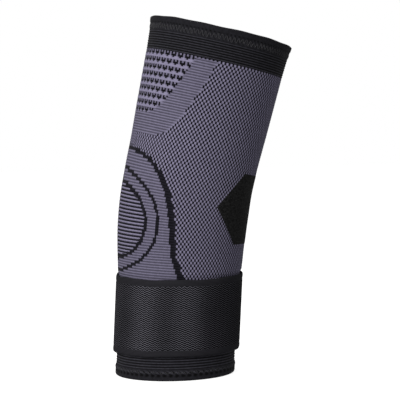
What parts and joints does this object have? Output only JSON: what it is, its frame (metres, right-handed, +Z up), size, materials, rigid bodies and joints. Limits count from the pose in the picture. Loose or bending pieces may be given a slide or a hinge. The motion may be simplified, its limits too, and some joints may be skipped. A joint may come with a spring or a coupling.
{
  "type": "elbow sleeve",
  "caption": "Knitted compression elbow sleeve with a gel elbow pad, ribbed cuffs and a wrap-round elastic forearm strap that closes with hook and loop.",
  "frame": {"origin": "centre of the forearm opening, on the plane of the lower rim, which the sleeve stands on", "axes": "+Z up, square to the lower rim, -X towards the elbow point, +X towards the crease of the elbow, where the forearm tube leans 3.8 degrees and the upper-arm tube 13.8 degrees at rest; the strap closes on the +Y side"},
  "size_m": [0.1366, 0.1062, 0.2631],
  "materials": {
    "sleeve_knit": "two-colour jacquard knit, lilac grey and black",
    "crease_knit": "fine black knit",
    "cuff_rib": "fine horizontal rib, matte",
    "strap_elastic": "zigzag woven elastic, slight sheen",
    "binding_tape": "folded woven tape",
    "thread": "sewing thread",
    "silicone": "soft matte silicone",
    "pad_gel": "soft gel",
    "pocket_lining": "brushed lining",
    "loop_pile": "brushed loop pile",
    "hook_tape": "hook tape",
    "label_tape": "blank satin tape"
  },
  "bodies": {
    "forearm_section": {"forearm_knit": "sleeve_knit", "elbow_knit": "sleeve_knit", "crease_panel": "crease_knit", "lower_cuff": "cuff_rib", "lower_grip_ring": "silicone", "lower_hem_stitching": "thread", "gel_pad": "pad_gel", "pad_pocket": "pocket_lining", "pocket_stitching": "thread", "strap_band": "strap_elastic", "loop_panel": "loop_pile", "loop_panel_stitching": "thread", "strap_anchor_stitching": "thread"},
    "upper_arm_section": {"upper_arm_knit": "sleeve_knit", "upper_cuff": "cuff_rib", "upper_grip_ring": "silicone", "upper_hem_stitching": "thread", "care_label": "label_tape"},
    "strap_tail_section": {"strap_tail": "strap_elastic"},
    "strap_end_section": {"strap_end": "strap_elastic", "hook_patch": "hook_tape", "hook_stitching": "thread", "end_binding": "binding_tape"}
  },
  "joints": [
    {"name": "elbow_flex", "type": "hinge", "parent": "forearm_section", "child": "upper_arm_section", "pos_m": [0.00815, 0, 0.12273], "axis": [0, 1, 0], "range_deg": [-10, 80], "stiffness_Nm_per_rad": 0.4, "deforming": ["elbow_knit", "crease_panel"]},
    {"name": "strap_peel", "type": "hinge", "parent": "forearm_section", "child": "strap_tail_section", "pos_m": [0.02001, 0.0468, 0.04427], "axis": [-0.0663, 0, -0.9978], "range_deg": [0, 60]},
    {"name": "strap_end_peel", "type": "hinge", "parent": "strap_tail_section", "child": "strap_end_section", "pos_m": [-0.00561, 0.04904, 0.04597], "axis": [-0.0663, 0, -0.9978], "range_deg": [0, 60]}
  ],
  "couplings": [
    {"joint": "strap_end_peel", "follows": "strap_peel", "ratio": 1}
  ]
}
